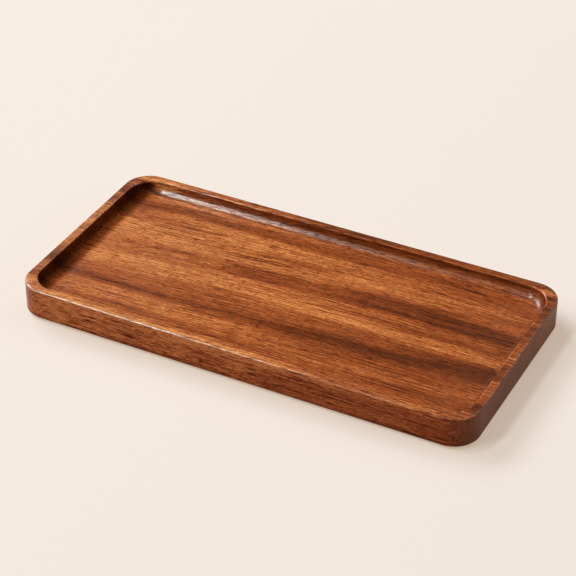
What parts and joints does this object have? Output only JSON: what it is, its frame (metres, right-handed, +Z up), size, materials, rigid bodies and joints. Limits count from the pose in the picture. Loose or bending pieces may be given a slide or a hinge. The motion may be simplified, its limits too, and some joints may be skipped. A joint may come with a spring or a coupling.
{
  "type": "vanity tray",
  "caption": "Low rectangular vanity tray routed from one hardwood board, with round corners, a shallow coved recess and recessed anti-slip pads underneath.",
  "frame": {"origin": "on the surface that the tray stands on, under the middle of the board", "axes": "+X along the tray to its right end, +Y across it to its back edge, +Z up out of the recess"},
  "size_m": [0.3, 0.15, 0.021],
  "materials": {
    "oiled_wood": "satin oil varnish over brown straight-grained hardwood",
    "silicone": "matte"
  },
  "bodies": {
    "root": {"tray_board": "oiled_wood", "pad_front_left": "silicone", "pad_front_right": "silicone", "pad_back_left": "silicone", "pad_back_right": "silicone"}
  },
  "joints": []
}
